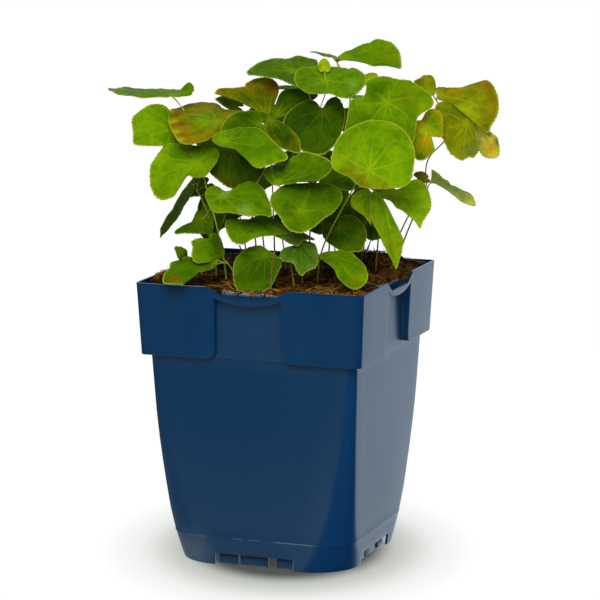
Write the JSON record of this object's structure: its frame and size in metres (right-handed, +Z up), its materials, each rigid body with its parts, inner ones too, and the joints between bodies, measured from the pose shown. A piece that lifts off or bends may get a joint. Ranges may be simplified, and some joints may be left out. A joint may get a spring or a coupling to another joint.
{
  "type": "potted plant",
  "caption": "Leafy barrenwort with heart-shaped leaflets on wiry stems, rooted in a square tapering nursery pot filled with peat and coir.",
  "frame": {"origin": "under the middle of the whole plant's width and depth, on the surface that the pot stands on", "axes": "+Z up; the pot's sides face along X and Y; -Y is the side that the picture shows widest, +X the side to its right"},
  "size_m": [0.2214, 0.1666, 0.3053],
  "materials": {
    "blue_plastic": "satin moulded plastic, dark blue",
    "peat_and_coir": "rough brown fibrous growing medium",
    "leaf_green": "soft leaf, bright yellow-green, some bronze",
    "dry_straw": "dull dry stalk"
  },
  "bodies": {
    "root": {"pot": "blue_plastic", "soil": "peat_and_coir", "leafy_stem_01": "leaf_green", "leafy_stem_02": "leaf_green", "leafy_stem_03": "leaf_green", "leafy_stem_04": "leaf_green", "leafy_stem_05": "leaf_green", "leafy_stem_06": "leaf_green", "leafy_stem_07": "leaf_green", "leafy_stem_08": "leaf_green", "leafy_stem_09": "leaf_green", "leafy_stem_10": "leaf_green", "leafy_stem_11": "leaf_green", "leafy_stem_12": "leaf_green", "leafy_stem_13": "leaf_green", "leafy_stem_14": "leaf_green", "leafy_stem_15": "leaf_green", "leafy_stem_16": "leaf_green", "leafy_stem_17": "leaf_green", "leafy_stem_18": "leaf_green", "leafy_stem_19": "leaf_green", "leafy_stem_20": "leaf_green", "leafy_stem_21": "leaf_green", "dry_stalk_01": "dry_straw", "dry_stalk_02": "dry_straw", "dry_stalk_03": "dry_straw"}
  },
  "joints": []
}
